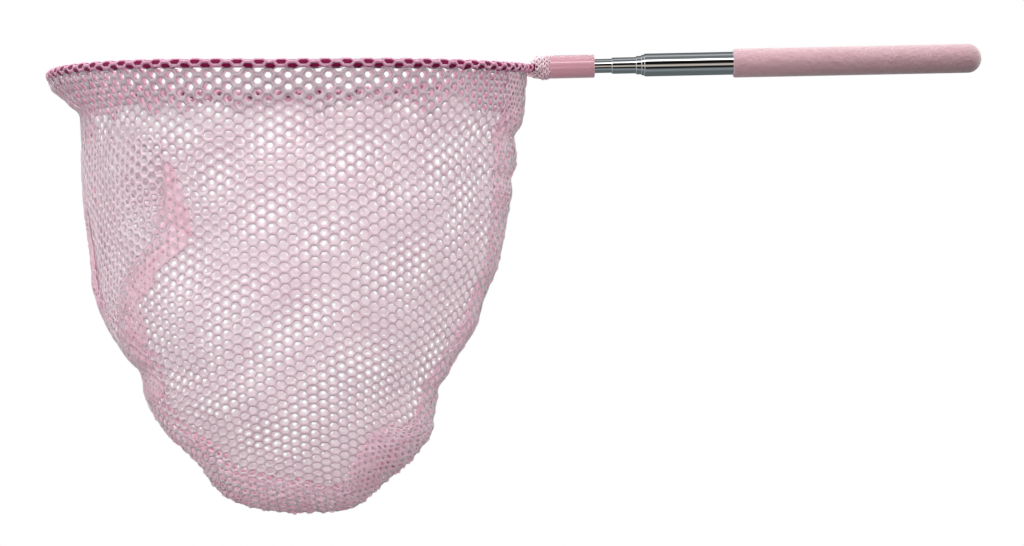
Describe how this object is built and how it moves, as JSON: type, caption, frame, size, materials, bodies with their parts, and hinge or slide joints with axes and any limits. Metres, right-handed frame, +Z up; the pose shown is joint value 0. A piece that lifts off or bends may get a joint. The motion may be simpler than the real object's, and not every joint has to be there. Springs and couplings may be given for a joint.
{
  "type": "telescopic dip net",
  "caption": "Hand net with a round hoop and hanging mesh bag on a slim telescoping steel pole with a soft grip, for scooping small fish and insects.",
  "frame": {"origin": "middle of the grip, on the axis of the pole", "axes": "+X along the pole from the hoop to the butt of the grip, +Z up, hoop level, bag hanging to -Z"},
  "size_m": [0.3825, 0.1974, 0.1863],
  "materials": {
    "grip_foam": "fine pebbled, matt",
    "pole_steel": "polished",
    "clip_bronze": "plain rolled strip",
    "plug_plastic": "moulded",
    "collar_plastic": "glossy",
    "spring_wire": "drawn",
    "hoop_sleeve_plastic": "satin",
    "net_knit": "soft knitted net",
    "net_seam": "sewn net edges"
  },
  "bodies": {
    "grip": {"grip_sleeve": "grip_foam", "tube_end_plug": "plug_plastic", "pole_tube_1": "pole_steel"},
    "clip_2": {"friction_clip_2": "clip_bronze"},
    "tube_2": {"pole_tube_2": "pole_steel"},
    "clip_3": {"friction_clip_3": "clip_bronze"},
    "tube_3": {"pole_tube_3": "pole_steel"},
    "clip_4": {"friction_clip_4": "clip_bronze"},
    "tube_4": {"pole_tube_4": "pole_steel"},
    "clip_5": {"friction_clip_5": "clip_bronze"},
    "head": {"pole_tube_5": "pole_steel", "collar": "collar_plastic", "hoop_wire": "spring_wire", "hoop_sleeve": "hoop_sleeve_plastic", "net_hem": "net_knit", "net_gather": "net_knit", "net_panel_front": "net_knit", "net_panel_back": "net_knit", "bag_seam": "net_seam"}
  },
  "joints": [
    {"name": "slide_2", "type": "slide", "parent": "grip", "child": "clip_2", "axis": [-1, 0, 0], "range_m": [0, 0.1125]},
    {"name": "swivel_2", "type": "hinge", "parent": "clip_2", "child": "tube_2", "pos_m": [0, 0, 0], "axis": [-1, 0, 0], "continuous": true},
    {"name": "slide_3", "type": "slide", "parent": "tube_2", "child": "clip_3", "axis": [-1, 0, 0], "range_m": [0, 0.1135]},
    {"name": "swivel_3", "type": "hinge", "parent": "clip_3", "child": "tube_3", "pos_m": [0, 0, 0], "axis": [-1, 0, 0], "continuous": true},
    {"name": "slide_4", "type": "slide", "parent": "tube_3", "child": "clip_4", "axis": [-1, 0, 0], "range_m": [-0.0083, 0.1075]},
    {"name": "swivel_4", "type": "hinge", "parent": "clip_4", "child": "tube_4", "pos_m": [0, 0, 0], "axis": [-1, 0, 0], "continuous": true},
    {"name": "slide_5", "type": "slide", "parent": "tube_4", "child": "clip_5", "axis": [-1, 0, 0], "range_m": [-0.006, 0.1115]},
    {"name": "swivel_5", "type": "hinge", "parent": "clip_5", "child": "head", "pos_m": [0, 0, 0], "axis": [-1, 0, 0], "continuous": true}
  ]
}
